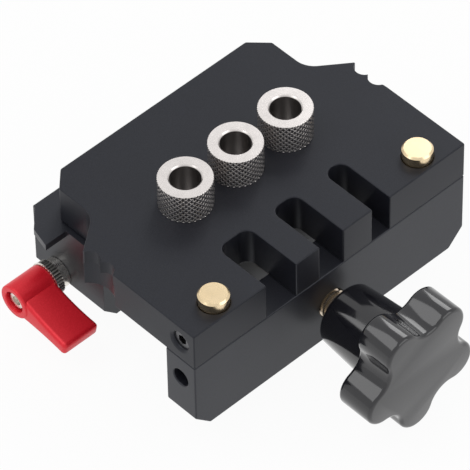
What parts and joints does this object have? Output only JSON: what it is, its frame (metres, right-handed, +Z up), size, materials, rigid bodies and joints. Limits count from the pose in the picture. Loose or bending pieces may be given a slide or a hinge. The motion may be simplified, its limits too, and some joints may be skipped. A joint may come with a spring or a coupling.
{
  "type": "self centering doweling jig",
  "caption": "Self-centring doweling jig: a slotted guide plate with knurled drill bushes, a front fence, two sliding jaws, a star-knob clamp screw and a lock lever.",
  "frame": {"origin": "axis of the middle drill bush at the underside of the guide plate", "axes": "+Z up along the bush axis, +Y away from the star knob, +X to the right of someone facing the knob's side"},
  "size_m": [0.0995, 0.0998, 0.0506],
  "materials": {
    "anodised_black": "bead blasted, black anodised",
    "fence_black": "black anodised, satin",
    "bush_steel": "nickel plated, knurled",
    "pin_brass": "turned brass",
    "hardware_steel": "plain steel",
    "screw_zinc": "yellow zinc plated, threaded",
    "knob_plastic": "glossy black, moulded",
    "lever_red": "red anodised",
    "lever_steel": "bright steel, knurled rim"
  },
  "bodies": {
    "base": {"guide_plate": "anodised_black", "front_fence": "fence_black", "pin_left": "pin_brass", "pin_right": "pin_brass", "set_screw_left": "hardware_steel", "set_screw_right": "hardware_steel", "fence_screw_left": "hardware_steel", "fence_screw_right": "hardware_steel"},
    "bush_left_body": {"bush_left": "bush_steel"},
    "bush_middle_body": {"bush_middle": "bush_steel"},
    "bush_right_body": {"bush_right": "bush_steel"},
    "front_jaw_body": {"clamp_jaw": "fence_black", "front_key_left": "hardware_steel", "front_key_right": "hardware_steel"},
    "knob_body": {"clamp_screw": "screw_zinc", "retaining_ring": "hardware_steel", "star_knob": "knob_plastic"},
    "rear_jaw_body": {"rear_jaw": "fence_black", "rear_key_left": "hardware_steel", "rear_key_right": "hardware_steel", "lock_plunger": "hardware_steel"},
    "lever_body": {"lever_stud": "lever_steel", "lever_collar": "lever_steel", "lock_lever": "lever_red"}
  },
  "joints": [
    {"name": "bush_left_lift", "type": "slide", "parent": "base", "child": "bush_left_body", "axis": [0, 0, 1], "range_m": [0, 0.022]},
    {"name": "bush_middle_lift", "type": "slide", "parent": "base", "child": "bush_middle_body", "axis": [0, 0, 1], "range_m": [0, 0.022]},
    {"name": "bush_right_lift", "type": "slide", "parent": "base", "child": "bush_right_body", "axis": [0, 0, 1], "range_m": [0, 0.022]},
    {"name": "clamp_jaw_slide", "type": "slide", "parent": "base", "child": "front_jaw_body", "axis": [0, 1, 0], "range_m": [-0.0088, 0.0035]},
    {"name": "knob_turn", "type": "hinge", "parent": "front_jaw_body", "child": "knob_body", "pos_m": [0, -0.05, -0.0117], "axis": [0, 1, 0], "range_deg": [-2536, 1009]},
    {"name": "rear_jaw_slide", "type": "slide", "parent": "base", "child": "rear_jaw_body", "axis": [0, 1, 0], "range_m": [-0.0035, 0.0088]},
    {"name": "lock_lever_turn", "type": "hinge", "parent": "rear_jaw_body", "child": "lever_body", "pos_m": [-0.045, 0.025, -0.0174], "axis": [1, 0, 0], "range_deg": [-45, 75]}
  ],
  "couplings": [
    {"joint": "knob_turn", "follows": "clamp_jaw_slide", "rad_per_m": 5026.5},
    {"joint": "rear_jaw_slide", "follows": "clamp_jaw_slide", "ratio": -1}
  ]
}
